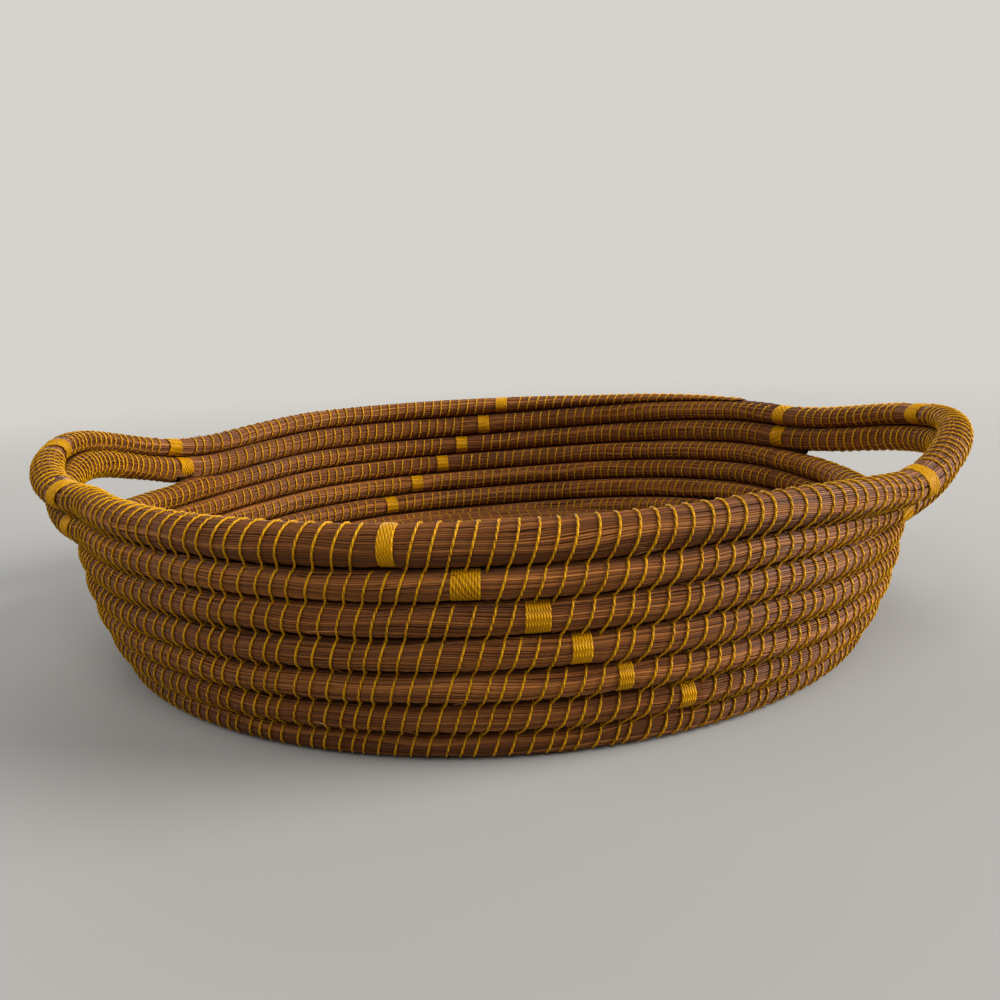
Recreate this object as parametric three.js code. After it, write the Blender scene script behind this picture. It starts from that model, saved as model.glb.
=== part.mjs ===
import * as THREE from 'three';

// A coiled pine needle basket with two loop handles.
// Lengths are in millimetres, angles in degrees from +X, rows are counted from the rim down.

// Rows of the wall
const rimRadius = 150;
const rowCount = 7;
const rowHalfWidth = 5.3;
const rowHalfHeight = 4.6;
const rowGap = 0.5;
const wallDrawIn = 12.1;
const wallDrawInPower = 2.6;

// The two top rows: the upper one is fuller at the front, and the lower one is flatter there
const rimHalfWidth = 5.7;
const rimHalfHeight = 4.4;
const lowerRimHalfHeight = 5.3;
const frontFullness = 1.1;
const frontMiddle = -90;
const frontHalfSpan = 100;
const frontFlatness = 2;

// Rounds of the flat base, evenly spaced between the knot and the wall
const baseHalfWidth = 4.25;
const leastBaseGap = 1.25;
const knotRadius = 4.9;
const knotRound = 1.2;

// Seen from above the coil runs clockwise. Each round is level and climbs to the next one on its last
// stretch, between these angles at the back.
const climbStart = 100;
const climbEnd = 24.2;
const startClimbShare = 1;
const turnUpBulge = 1.5;

// The bundle starts in a thin tail, a share of the first climb long, and ends in one on the back rim
const startTailShare = 0.65;
const endTailAngle = 47;
const endTailWidthShare = 0.45;

// The wall has settled a little at the back of the left handle and along the right one
const leftSettleDepth = 3.8;
const rightSettleDepth = 5;
const settles = [
  { middle: 155, halfSpan: 30, depth: leftSettleDepth },
  { middle: -14, halfSpan: 51, depth: rightSettleDepth },
];

// Handles: the two top rows bow out of the wall, rise and lean outwards together
const rightHandleBow = 24;
const rightHandleLift = 11.3;
const leftHandleBow = 13.4;
const leftHandleLift = 9.6;
const handles = [
  {
    middle: -6.6,
    halfSpan: 35.8,
    bow: rightHandleBow,
    lift: rightHandleLift,
    flatness: 1.6,
    shoulder: 1.4,
    lean: 36,
    leanMiddle: -32.5,
    leanHalfSpan: 37.8,
  },
  {
    middle: 178.5,
    halfSpan: 33.2,
    bow: leftHandleBow,
    lift: leftHandleLift,
    flatness: 2.7,
    shoulder: 2.25,
    lean: 27,
    leanMiddle: 178.5,
    leanHalfSpan: 33.2,
  },
];

// Wrapped bands of thread
const bandThickness = 1;
const bandProudOut = 0.5;
const bandProudUp = 0.1;
const bandRound = 0.4;
const bandShoulder = 0.8;
const frontBandAngles = [-100, -92.8, -86.2, -82, -77.4, -69.8];
const frontBandWidths = [4.2, 7.4, 6.4, 5.2, 4, 4.4];
const backBandAngles = [87, 91, 96, 100.5, 106.5, 113];
const backBandWidth = 7;
const handleBandWidth = 7;
const handleEnds = {
  right: { upper: { front: -31.5, bend: -2, back: 23.8 }, lower: { front: -33.5, back: climbEnd } },
  left: { upper: { front: 202.5, bend: 184.7, back: 158.5 }, lower: { front: 204.3, back: 157 } },
};

// Room between pieces that meet
const jointGap = 0.3;

// Finish
const needleColour = 0x6b4528;
const needleRoughness = 0.75;
const threadColour = 0xc8961f;
const threadRoughness = 0.6;

// Facets
const stepsPerRound = 36;
const innerStepsPerRound = 18;
const innerRounds = 4;
const baseSides = 6;
const rowSides = 8;
const rimStepDegrees = 4;
const knotSides = 16;

// Short steps that give the direction along a bundle
const tangentRounds = 0.0005;
const tangentDegrees = 0.2;

// Rounds of a coil that lie beside each other are this many turns apart
const leastTurnsApart = 0.5;
const mostTurnsApart = 1.5;

// Sizes that follow from the ones above
const lowerRimRow = 2;
const topWallRow = 3;
const rowPitch = 2 * rowHalfHeight + rowGap;
const wallTop = rowHeight(topWallRow) + rowHalfHeight;
const rimStep = lowerRimHalfHeight + rimHalfHeight + rowGap;
const rimTop = wallTop + rowGap + lowerRimHalfHeight + rimStep + rimHalfHeight;
const wallClimbShare = (climbStart - climbEnd) / 360;
const startRadius = knotRadius + jointGap + baseHalfWidth;
const lastBaseRadius = rowRadius(rowCount) - rowHalfWidth - leastBaseGap - baseHalfWidth;
const baseReach = lastBaseRadius - startRadius;
const baseRounds = Math.floor(baseReach / (2 * baseHalfWidth + leastBaseGap)) + 1;
const basePitch = baseReach / (baseRounds - 1);
const baseGap = basePitch - 2 * baseHalfWidth;
const wallRounds = rowCount - topWallRow + 1;
const wallEnd = baseRounds + wallRounds;
const startTail = startTailShare * startClimbShare;
const neckOut = bandThickness + jointGap - bandProudOut;
const neckUp = bandThickness + jointGap - bandProudUp;
const axisUp = new THREE.Vector3(0, 0, 1);

function rowRadius(row) {
  return rimRadius - wallDrawIn * ((row - 1) / (rowCount - 1)) ** wallDrawInPower;
}

function rowHeight(row) {
  return rowHalfHeight + (rowCount - row) * rowPitch;
}

function radians(angle) {
  return THREE.MathUtils.degToRad(angle);
}

function turnFrom(angle, start) {
  return THREE.MathUtils.euclideanModulo(angle - start, 360);
}

// Signed place of an angle across a span, from -1 to 1
function across(angle, middle, halfSpan) {
  const offset = turnFrom(angle, middle - 180) - 180;
  return THREE.MathUtils.clamp(offset / halfSpan, -1, 1);
}

// How much of its full height the wall keeps at an angle
function settled(angle) {
  return settles.reduce((share, { middle, halfSpan, depth }) => {
    const place = across(angle, middle, halfSpan);
    return share - (depth / rimTop) * (1 - place ** 2) ** 2;
  }, 1);
}

// Share of a round that climbs: long near the middle of the base, short in the wall
function climbShare(round) {
  const place = Math.min(round / (baseRounds - 1), 1);
  return startClimbShare * (wallClimbShare / startClimbShare) ** place;
}

// Rounds reached, with level stretches in between
function levelAt(rounds) {
  const round = Math.floor(rounds);
  const share = climbShare(round);
  return round + THREE.MathUtils.smoothstep(rounds - round, 1 - share, 1);
}

function levelRadius(level) {
  if (level <= baseRounds - 1) {
    return startRadius + level * basePitch;
  }
  if (level <= baseRounds) {
    return THREE.MathUtils.lerp(lastBaseRadius, rowRadius(rowCount), level - baseRounds + 1);
  }
  const climbed = level - baseRounds;
  const bulge = climbed < 1 ? turnUpBulge * Math.sin(Math.PI * climbed) : 0;
  return rowRadius(rowCount - climbed) + bulge;
}

function levelHeight(level) {
  return rowHalfHeight + THREE.MathUtils.clamp(level - baseRounds, 0, wallRounds - 1) * rowPitch;
}

// Place and size of the bundle after a number of rounds from the middle of the base.
// Its thin start lies between the knot and the first round, its last climb reaches the lower rim row.
function bundleAt(rounds) {
  const level = levelAt(rounds);
  const filledOut = THREE.MathUtils.clamp(level - baseRounds + 1, 0, 1);
  const onRim = THREE.MathUtils.clamp(level - wallEnd + 1, 0, 1);
  const angle = climbEnd - 360 * rounds;
  const bundle = {
    angle,
    radius: levelRadius(level) + onRim * handleBow(angle),
    height: THREE.MathUtils.lerp(levelHeight(level), lowerRimHeight(angle), onRim),
    halfWidth: THREE.MathUtils.lerp(baseHalfWidth, rowHalfWidth, filledOut),
    halfHeight: THREE.MathUtils.lerp(rowHalfHeight, lowerHalfHeight(angle), onRim),
  };
  if (rounds < 0) {
    const inner = startRadius - baseHalfWidth;
    const outer = levelRadius(levelAt(rounds + 1)) - baseHalfWidth - baseGap;
    bundle.radius = (inner + outer) / 2;
    bundle.halfWidth = (outer - inner) / 2;
  }
  return bundle;
}

function polarPoint(angle, radius, height) {
  const x = radius * Math.cos(radians(angle));
  const y = radius * Math.sin(radians(angle));
  return new THREE.Vector3(x, y, height * settled(angle));
}

// A ring is the place of one section: its centre, its outward and upward directions and its half sizes
function makeRing(pointAt, place, step, lean, halfWidth, halfHeight) {
  const centre = pointAt(place);
  const along = pointAt(place + step).sub(pointAt(place - step)).normalize();
  const flatOut = new THREE.Vector3().crossVectors(along, axisUp).normalize();
  const flatUp = new THREE.Vector3().crossVectors(flatOut, along);
  const out = flatOut.clone().applyAxisAngle(along, radians(lean));
  const up = flatUp.clone().applyAxisAngle(along, radians(lean));
  return { centre, out, up, halfWidth, halfHeight };
}

function coilPoint(rounds) {
  const bundle = bundleAt(rounds);
  return polarPoint(bundle.angle, bundle.radius, bundle.height);
}

function coilRing(rounds) {
  const bundle = bundleAt(rounds);
  const halfHeight = bundle.halfHeight * settled(bundle.angle);
  return makeRing(coilPoint, rounds, tangentRounds, 0, bundle.halfWidth, halfHeight);
}

function sumOverHandles(part) {
  return handles.reduce((sum, handle) => sum + part(handle), 0);
}

// A shape that is 1 at the middle of a span and 0 outside it
function hump(angle, middle, halfSpan, flatness) {
  return (1 - Math.abs(across(angle, middle, halfSpan)) ** flatness) ** 2;
}

function handleBow(angle) {
  return sumOverHandles(({ bow, middle, halfSpan, flatness }) => {
    return bow * hump(angle, middle, halfSpan, flatness);
  });
}

function handleLean(angle) {
  return sumOverHandles(({ lean, leanMiddle, leanHalfSpan, flatness }) => {
    return lean * hump(angle, leanMiddle, leanHalfSpan, flatness);
  });
}

function handleLift(angle) {
  return sumOverHandles(({ lift, middle, halfSpan, shoulder }) => {
    const place = across(angle, middle, halfSpan) ** 2;
    return lift * (1 - place) ** 2 * (1 - shoulder * place);
  });
}

function frontShare(angle) {
  return frontFullness * hump(angle, frontMiddle, frontHalfSpan, frontFlatness);
}

function upperHalfHeight(angle) {
  return rimHalfHeight + frontShare(angle);
}

function lowerHalfHeight(angle) {
  return lowerRimHalfHeight - frontShare(angle);
}

// A leaning row stands on the edge of its flat underside, a little higher than an upright one
function edgeRise(angle) {
  const tip = radians(handleLean(angle));
  const flatHalfWidth = rowHalfWidth * Math.tan(Math.PI / rowSides);
  return Math.max(flatHalfWidth * Math.sin(tip) - lowerHalfHeight(angle) * (1 - Math.cos(tip)), 0);
}

function lowerRimHeight(angle) {
  return wallTop + rowGap + lowerHalfHeight(angle) + handleLift(angle) + edgeRise(angle);
}

function lowerRimPoint(angle) {
  return polarPoint(angle, rowRadius(lowerRimRow) + handleBow(angle), lowerRimHeight(angle));
}

function lowerRimRing(angle) {
  const halfHeight = lowerHalfHeight(angle) * settled(angle);
  return makeRing(lowerRimPoint, angle, tangentDegrees, handleLean(angle), rowHalfWidth, halfHeight);
}

// The upper rim row lies on the lower one, in the direction that the pair leans
function upperRimPoint(angle) {
  const lower = lowerRimRing(angle);
  return lower.centre.clone().addScaledVector(lower.up, rimStep * settled(angle));
}

function upperRimRing(angle) {
  const halfHeight = upperHalfHeight(angle) * settled(angle);
  return makeRing(upperRimPoint, angle, tangentDegrees, handleLean(angle), rimHalfWidth, halfHeight);
}

// Share of the climb that a row has made at an angle on the back
function climbed(angle) {
  return THREE.MathUtils.smoothstep(climbStart - angle, 0, climbStart - climbEnd);
}

// On the back the lower rim row climbs until it is the upper row of the right handle
function climbingPoint(angle) {
  return lowerRimPoint(angle).lerp(upperRimPoint(angle), climbed(angle));
}

function climbingHalfHeight(angle) {
  const halfHeight = THREE.MathUtils.lerp(lowerHalfHeight(angle), upperHalfHeight(angle), climbed(angle));
  return halfHeight * settled(angle);
}

function climbingRing(angle) {
  const halfWidth = THREE.MathUtils.lerp(rowHalfWidth, rimHalfWidth, climbed(angle));
  const halfHeight = climbingHalfHeight(angle);
  return makeRing(climbingPoint, angle, tangentDegrees, handleLean(angle), halfWidth, halfHeight);
}

// The upper row lies on that climb and thins out below the level of the rim
function tailHalfHeight(angle) {
  const room = (1 - climbed(angle)) * rimStep + upperHalfHeight(angle) - rowGap;
  return (room * settled(angle) - climbingHalfHeight(angle)) / 2;
}

function tailPoint(angle) {
  const upper = upperRimRing(angle);
  return upper.centre.clone().addScaledVector(upper.up, upper.halfHeight - tailHalfHeight(angle));
}

function tailRing(angle) {
  const halfHeight = tailHalfHeight(angle);
  const fullness = halfHeight / (upperHalfHeight(angle) * settled(angle));
  const halfWidth = rimHalfWidth * THREE.MathUtils.lerp(endTailWidthShare, 1, fullness);
  return makeRing(tailPoint, angle, tangentDegrees, handleLean(angle), halfWidth, halfHeight);
}

// Corners of a section with flat top and bottom sides, grown or shrunk by the two amounts
function sectionCorners(ring, sides, growOut, growUp) {
  const corners = [];
  const reach = 1 / Math.cos(Math.PI / sides);
  const flatOutside = sides % 4 === 0;
  for (let side = 0; side < sides; side += 1) {
    const turn = ((flatOutside ? side + 0.5 : side) * 2 * Math.PI) / sides;
    const sideways = (flatOutside ? reach : 1) * (ring.halfWidth + growOut) * Math.cos(turn);
    const upwards = reach * (ring.halfHeight + growUp) * Math.sin(turn);
    const corner = ring.centre.clone().addScaledVector(ring.out, sideways);
    corners.push(corner.addScaledVector(ring.up, upwards));
  }
  return corners;
}

function meshGeometry(points, triangles) {
  const geometry = new THREE.BufferGeometry();
  const positions = points.flatMap((point) => point.toArray());
  geometry.setAttribute('position', new THREE.Float32BufferAttribute(positions, 3));
  geometry.setIndex(triangles);
  geometry.computeVertexNormals();
  return geometry;
}

// Two triangles for each side between two loops of corners, given by their first corner's number
function joinLoops(triangles, first, second, sides) {
  for (let side = 0; side < sides; side += 1) {
    const next = (side + 1) % sides;
    triangles.push(first + side, second + side, first + next);
    triangles.push(first + next, second + side, second + next);
  }
}

// A closed tube through loops of corners, with flat ends
function tubeGeometry(loops) {
  const sides = loops[0].length;
  const points = loops.flat();
  const triangles = [];
  for (let loop = 0; loop + 1 < loops.length; loop += 1) {
    joinLoops(triangles, loop * sides, (loop + 1) * sides, sides);
  }
  const last = (loops.length - 1) * sides;
  for (let side = 1; side + 1 < sides; side += 1) {
    triangles.push(0, side, side + 1);
    triangles.push(last, last + side + 1, last + side);
  }
  return meshGeometry(points, triangles);
}

// A closed sleeve: the loops run along its outside and back along its inside
function sleeveGeometry(loops) {
  const sides = loops[0].length;
  const triangles = [];
  for (let loop = 0; loop < loops.length; loop += 1) {
    joinLoops(triangles, loop * sides, ((loop + 1) % loops.length) * sides, sides);
  }
  return meshGeometry(loops.flat(), triangles);
}

// Even places between two ends, without the ends
function evenPlaces(from, to, perUnit) {
  const places = [];
  for (let step = Math.floor(from * perUnit) + 1; step < to * perUnit; step += 1) {
    places.push(step / perUnit);
  }
  return places;
}

// Places along a bundle: its even places and its ends, with a neck under each band.
// A band has its middle and the half lengths of its neck and of its neck with shoulders, in the same unit.
function neckedPlaces(even, bands, start, end) {
  const places = [start, end].map((place) => ({ place, neck: false }));
  const clear = (place) => bands.every((band) => Math.abs(place - band.middle) > band.full);
  even.filter(clear).forEach((place) => places.push({ place, neck: false }));
  bands.forEach((band) => {
    [-1, 1].forEach((way) => {
      places.push({ place: band.middle + way * band.full, neck: false });
      places.push({ place: band.middle + way * band.neck, neck: true });
    });
  });
  const kept = places.filter(({ place }) => place >= start && place <= end);
  kept.forEach((item) => {
    item.neck = item.neck || bands.some((band) => Math.abs(item.place - band.middle) < band.neck);
  });
  return kept.sort((a, b) => a.place - b.place);
}

// The neck under a band, where one unit along the bundle is perUnit long
function neckSpan(middle, width, perUnit) {
  const neck = width / 2 + jointGap;
  return { middle, neck: neck / perUnit, full: (neck + bandShoulder) / perUnit };
}

function neckedLoop(ring, neck) {
  return sectionCorners(ring, rowSides, neck ? -neckOut : 0, neck ? -neckUp : 0);
}

// A sleeve of thread round a row, rounded at both ends
function bandGeometry(ringAt, middle, width, perUnit) {
  const half = width / 2;
  const round = Math.min(bandRound, half / 2);
  const outer = [-half, -half + round, half - round, half].map((place) => {
    const shrink = Math.abs(place) === half ? bandRound : 0;
    const ring = ringAt(middle + place / perUnit);
    return sectionCorners(ring, rowSides, bandProudOut - shrink, bandProudUp - shrink);
  });
  const inner = [half, -half].map((place) => {
    const ring = ringAt(middle + place / perUnit);
    return sectionCorners(ring, rowSides, bandProudOut - bandThickness, bandProudUp - bandThickness);
  });
  return sleeveGeometry([...outer, ...inner]);
}

// Least distance between points of a coil that lie on different rounds
function leastSelfGap(loops, rounds) {
  let least = Infinity;
  for (let first = 0; first < loops.length; first += 1) {
    for (let second = first + 1; second < loops.length; second += 1) {
      const turns = rounds[second] - rounds[first];
      if (turns > leastTurnsApart && turns < mostTurnsApart) {
        loops[first].forEach((a) => loops[second].forEach((b) => {
          least = Math.min(least, a.distanceTo(b));
        }));
      }
    }
  }
  return least;
}

function roundsOfRow(row, angle) {
  return baseRounds + rowCount - row + turnFrom(climbEnd, angle) / 360;
}

const basket = new THREE.Group();

function addPiece(name, geometry, material) {
  const mesh = new THREE.Mesh(geometry, material);
  mesh.name = name;
  basket.add(mesh);
}

function needleMaterial() {
  return new THREE.MeshStandardMaterial({ color: needleColour, roughness: needleRoughness });
}

function threadMaterial() {
  return new THREE.MeshStandardMaterial({ color: threadColour, roughness: threadRoughness });
}

// Base: a knot in the middle and an unbroken flat spiral round it
function addBase() {
  const knotTop = 2 * rowHalfHeight;
  const profile = [
    new THREE.Vector2(0, 0),
    new THREE.Vector2(knotRadius - knotRound, 0),
    new THREE.Vector2(knotRadius, knotRound),
    new THREE.Vector2(knotRadius, knotTop - 2 * knotRound),
    new THREE.Vector2(knotRadius - knotRound, knotTop - knotRound),
    new THREE.Vector2(0, knotTop),
  ];
  const knot = new THREE.LatheGeometry(profile, knotSides).rotateX(Math.PI / 2);
  addPiece('base_start_knot', knot, threadMaterial());

  const end = baseRounds - jointGap / 2 / (2 * Math.PI * rowRadius(rowCount));
  const innerPlaces = evenPlaces(-startTail, innerRounds, innerStepsPerRound);
  const outerPlaces = evenPlaces(innerRounds, end, stepsPerRound);
  const rounds = [-startTail, ...innerPlaces, innerRounds, ...outerPlaces, end];
  const loops = rounds.map((place) => sectionCorners(coilRing(place), baseSides, 0, 0));
  addPiece('base_coil', tubeGeometry(loops), needleMaterial());
  console.log('least gap of the base coil to itself, mm:', leastSelfGap(loops, rounds).toFixed(2));
}

// Wall: an unbroken coil from the table up to the band where the right handle's lower row starts
function addWall(bands) {
  const start = baseRounds + jointGap / 2 / (2 * Math.PI * rowRadius(rowCount));
  const end = wallEnd - jointGap / 2 / (2 * Math.PI * rowRadius(lowerRimRow));
  const even = evenPlaces(baseRounds, end, stepsPerRound);
  const spans = bands.map(({ row, angle, width }) => {
    return neckSpan(roundsOfRow(row, angle), width, 2 * Math.PI * rowRadius(row));
  });
  const endSpan = neckSpan(wallEnd, handleBandWidth, 2 * Math.PI * rowRadius(lowerRimRow));
  const places = neckedPlaces(even, [...spans, endSpan], start, end);
  const loops = places.map(({ place, neck }) => neckedLoop(coilRing(place), neck));
  addPiece('wall_coil', tubeGeometry(loops), needleMaterial());
  const rounds = places.map(({ place }) => place);
  console.log('least gap of the wall coil to itself, mm:', leastSelfGap(loops, rounds).toFixed(2));
}

// One stretch of a rim row, which meets its neighbours under the bands at its ends
function addRimStretch(name, ringAt, from, to, bands) {
  const perDegree = radians(rimRadius);
  const start = from + jointGap / 2 / perDegree;
  const end = from + turnFrom(to, from) - jointGap / 2 / perDegree;
  const even = evenPlaces(start, end, 1 / rimStepDegrees);
  const spans = bands.flatMap(({ angle, width }) => [-360, 0, 360].map((turn) => {
    const middle = from + turnFrom(angle, from) + turn;
    return neckSpan(middle, width, perDegree);
  }));
  const near = spans.filter(({ middle, full }) => middle > start - full && middle < end + full);
  const places = neckedPlaces(even, near, start, end);
  const loops = places.map(({ place, neck }) => neckedLoop(ringAt(place), neck));
  addPiece(name, tubeGeometry(loops), needleMaterial());
}

function handleBands(level) {
  return Object.entries(handleEnds).flatMap(([side, ends]) => {
    return Object.entries(ends[level]).map(([place, angle]) => ({
      name: `${side}_handle_band_${place}_${level}`,
      angle,
      width: handleBandWidth,
    }));
  });
}

const stepBands = [
  ...frontBandAngles.map((angle, index) => ({
    name: `front_band_${index + 1}`,
    row: index + 1,
    angle,
    width: frontBandWidths[index],
  })),
  ...backBandAngles.map((angle, index) => ({
    name: `back_band_${index + 1}`,
    row: index + 1,
    angle,
    width: backBandWidth,
  })),
];

addBase();
addWall(stepBands.filter(({ row }) => row >= topWallRow));

const left = handleEnds.left;
const right = handleEnds.right;
const upperBands = [...stepBands.filter(({ row }) => row === 1), ...handleBands('upper')];
const lowerBands = [...stepBands.filter(({ row }) => row === lowerRimRow), ...handleBands('lower')];
const climbingBands = [
  ...lowerBands.filter(({ angle }) => angle !== right.lower.back),
  ...upperBands.filter(({ angle }) => angle === right.upper.back),
];

[
  { level: 'upper', ringAt: upperRimRing, bands: upperBands, backRingAt: tailRing },
  { level: 'lower', ringAt: lowerRimRing, bands: lowerBands, backRingAt: climbingRing },
].forEach(({ level, ringAt, bands, backRingAt }) => {
  addRimStretch(`front_rim_${level}`, ringAt, left[level].front, right[level].front, bands);
  addRimStretch(`right_handle_${level}`, ringAt, right[level].front, right[level].back, bands);
  addRimStretch(`left_handle_${level}`, ringAt, left[level].back, left[level].front, bands);
  bands.forEach(({ name, angle, width }) => {
    const bandRingAt = backBandAngles.includes(angle) ? backRingAt : ringAt;
    addPiece(name, bandGeometry(bandRingAt, angle, width, radians(rimRadius)), threadMaterial());
  });
});
addRimStretch('back_rim_upper', tailRing, endTailAngle, left.upper.back, upperBands);
addRimStretch('back_rim_lower', climbingRing, right.upper.back, left.lower.back, climbingBands);

stepBands.filter(({ row }) => row >= topWallRow).forEach(({ name, row, angle, width }) => {
  const perRound = 2 * Math.PI * rowRadius(row);
  const band = bandGeometry(coilRing, roundsOfRow(row, angle), width, perRound);
  addPiece(name, band, threadMaterial());
});

export default basket;
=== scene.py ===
import math

import bpy
import numpy as np
from mathutils import Matrix, Vector


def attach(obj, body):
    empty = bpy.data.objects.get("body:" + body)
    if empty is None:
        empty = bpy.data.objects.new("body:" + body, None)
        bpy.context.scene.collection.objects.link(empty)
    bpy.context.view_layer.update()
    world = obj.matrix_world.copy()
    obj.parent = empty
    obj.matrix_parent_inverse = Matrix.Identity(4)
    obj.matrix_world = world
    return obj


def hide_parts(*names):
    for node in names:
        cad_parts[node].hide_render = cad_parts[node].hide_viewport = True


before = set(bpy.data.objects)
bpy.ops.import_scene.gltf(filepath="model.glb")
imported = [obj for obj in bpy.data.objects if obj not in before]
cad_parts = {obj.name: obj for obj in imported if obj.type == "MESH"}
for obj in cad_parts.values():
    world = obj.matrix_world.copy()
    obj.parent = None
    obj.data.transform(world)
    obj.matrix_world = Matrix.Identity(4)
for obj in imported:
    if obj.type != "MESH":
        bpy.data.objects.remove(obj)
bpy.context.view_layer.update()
print("frame loaded:", len(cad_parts), "solids")


# the basket's form: metres, degrees from +X, rows counted from the rim down; the coil runs clockwise,
# so a row's places are given as angles from the end of its climb back to a full turn before it;
# roundsStep and angleStep are the small steps over which a row's direction is measured
form = {
    "rimRadius": 0.150,
    "rowCount": 7,
    "rowHalfWidth": 0.0053,
    "rowHalfHeight": 0.0046,
    "rowGap": 0.0005,
    "wallDrawIn": 0.0121,
    "wallDrawInPower": 2.6,
    "rimHalfWidth": 0.0057,
    "rimHalfHeight": 0.0044,
    "lowerRimHalfHeight": 0.0053,
    "frontFullness": 0.0011,
    "frontMiddle": -90.0,
    "frontHalfSpan": 100.0,
    "frontFlatness": 2,
    "baseHalfWidth": 0.00425,
    "leastBaseGap": 0.00125,
    "knotRadius": 0.0049,
    "jointGap": 0.0003,
    "climbStart": 100.0,
    "climbEnd": 24.2,
    "startClimbShare": 1.0,
    "turnUpBulge": 0.0015,
    "startTailShare": 0.65,
    "endTailAngle": 34.0,
    "endTailWidthShare": 0.45,
    "upperRimRow": 1,
    "lowerRimRow": 2,
    "topWallRow": 3,
    "rowSides": 8,
    "roundsStep": 0.0005,
    "angleStep": 0.2,
}
settles = [
    {"middle": 155.0, "halfSpan": 30.0, "depth": 0.0038},
    {"middle": -14.0, "halfSpan": 51.0, "depth": 0.0050},
]
handles = [
    {
        "middle": -6.6,
        "halfSpan": 35.8,
        "bow": 0.0240,
        "lift": 0.0113,
        "flatness": 1.6,
        "shoulder": 1.4,
        "lean": 36.0,
        "leanMiddle": -32.5,
        "leanHalfSpan": 37.8,
    },
    {
        "middle": 178.5,
        "halfSpan": 33.2,
        "bow": 0.0134,
        "lift": 0.0096,
        "flatness": 2.7,
        "shoulder": 2.25,
        "lean": 27.0,
        "leanMiddle": 178.5,
        "leanHalfSpan": 33.2,
    },
]

rowPitch = 2 * form["rowHalfHeight"] + form["rowGap"]
rimStep = form["lowerRimHalfHeight"] + form["rimHalfHeight"] + form["rowGap"]


def rowRadius(row):
    share = (row - 1) / (form["rowCount"] - 1)
    return form["rimRadius"] - form["wallDrawIn"] * share ** form["wallDrawInPower"]


def rowHeight(row):
    return form["rowHalfHeight"] + (form["rowCount"] - row) * rowPitch


wallTop = rowHeight(form["topWallRow"]) + form["rowHalfHeight"]
rimTop = wallTop + form["rowGap"] + form["lowerRimHalfHeight"] + rimStep + form["rimHalfHeight"]
climbSpan = form["climbStart"] - form["climbEnd"]
startRadius = form["knotRadius"] + form["jointGap"] + form["baseHalfWidth"]
lastBaseEdge = rowRadius(form["rowCount"]) - form["rowHalfWidth"] - form["leastBaseGap"]
lastBaseRadius = lastBaseEdge - form["baseHalfWidth"]
baseReach = lastBaseRadius - startRadius
baseRounds = int(baseReach / (2 * form["baseHalfWidth"] + form["leastBaseGap"])) + 1
basePitch = baseReach / (baseRounds - 1)
baseGap = basePitch - 2 * form["baseHalfWidth"]
wallRounds = form["rowCount"] - form["topWallRow"] + 1
wallEnd = baseRounds + wallRounds


def smooth(share):
    share = np.clip(share, 0, 1)
    return share * share * (3 - 2 * share)


def across(angle, middle, halfSpan):
    offset = (angle - middle + 180) % 360 - 180
    return np.clip(offset / halfSpan, -1, 1)


def settled(angle):
    share = np.ones_like(angle)
    for settle in settles:
        place = across(angle, settle["middle"], settle["halfSpan"])
        share = share - settle["depth"] / rimTop * (1 - place ** 2) ** 2
    return share


# rounds are counted from the middle of the base; each is level and climbs on its last stretch
def levelAt(rounds):
    whole = np.floor(rounds)
    place = np.minimum(whole / (baseRounds - 1), 1)
    share = form["startClimbShare"] * (climbSpan / 360 / form["startClimbShare"]) ** place
    return whole + smooth((rounds - whole - 1 + share) / share)


def levelRadius(level):
    flat = startRadius + level * basePitch
    turn = lastBaseRadius + (rowRadius(form["rowCount"]) - lastBaseRadius) * (level - baseRounds + 1)
    climbed = np.maximum(level - baseRounds, 0)
    bulge = np.where(climbed < 1, form["turnUpBulge"] * np.sin(math.pi * climbed), 0)
    wall = rowRadius(form["rowCount"] - climbed) + bulge
    return np.where(level <= baseRounds - 1, flat, np.where(level <= baseRounds, turn, wall))


def levelHeight(level):
    return form["rowHalfHeight"] + np.clip(level - baseRounds, 0, wallRounds - 1) * rowPitch


def mix(first, second, share):
    return first + (second - first) * share


# the bundle's thin start lies beside the knot, its last climb reaches the lower rim row
def coilBundle(rounds):
    level = levelAt(rounds)
    angle = form["climbEnd"] - 360 * rounds
    onRim = np.clip(level - wallEnd + 1, 0, 1)
    radius = levelRadius(level) + onRim * handleBow(angle)
    height = mix(levelHeight(level), lowerRimHeight(angle), onRim)
    halfWidth = mix(form["baseHalfWidth"], form["rowHalfWidth"], np.clip(level - baseRounds + 1, 0, 1))
    halfHeight = mix(form["rowHalfHeight"], lowerHalfHeight(angle), onRim)
    inner = startRadius - form["baseHalfWidth"]
    outer = levelRadius(levelAt(rounds + 1)) - form["baseHalfWidth"] - baseGap
    radius = np.where(rounds < 0, (inner + outer) / 2, radius)
    halfWidth = np.where(rounds < 0, (outer - inner) / 2, halfWidth)
    return radius, height, halfWidth, halfHeight


def polar(angle, radius, height):
    turn = np.radians(angle)
    return np.stack([radius * np.cos(turn), radius * np.sin(turn), height * settled(angle)], -1)


def unit(vectors):
    return vectors / np.linalg.norm(vectors, axis=-1, keepdims=True)


# a row's sections: centres, directions along, outwards and upwards, and half sizes
def sections(pointAt, places, step, lean, halfWidth, halfHeight):
    along = unit(pointAt(places + step) - pointAt(places - step))
    flatOut = unit(np.cross(along, (0, 0, 1)))
    flatUp = np.cross(flatOut, along)
    tip = np.radians(lean)[:, None]
    return {
        "centre": pointAt(places),
        "along": along,
        "out": flatOut * np.cos(tip) - flatUp * np.sin(tip),
        "up": flatUp * np.cos(tip) + flatOut * np.sin(tip),
        "halfWidth": halfWidth,
        "halfHeight": halfHeight,
    }


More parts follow.
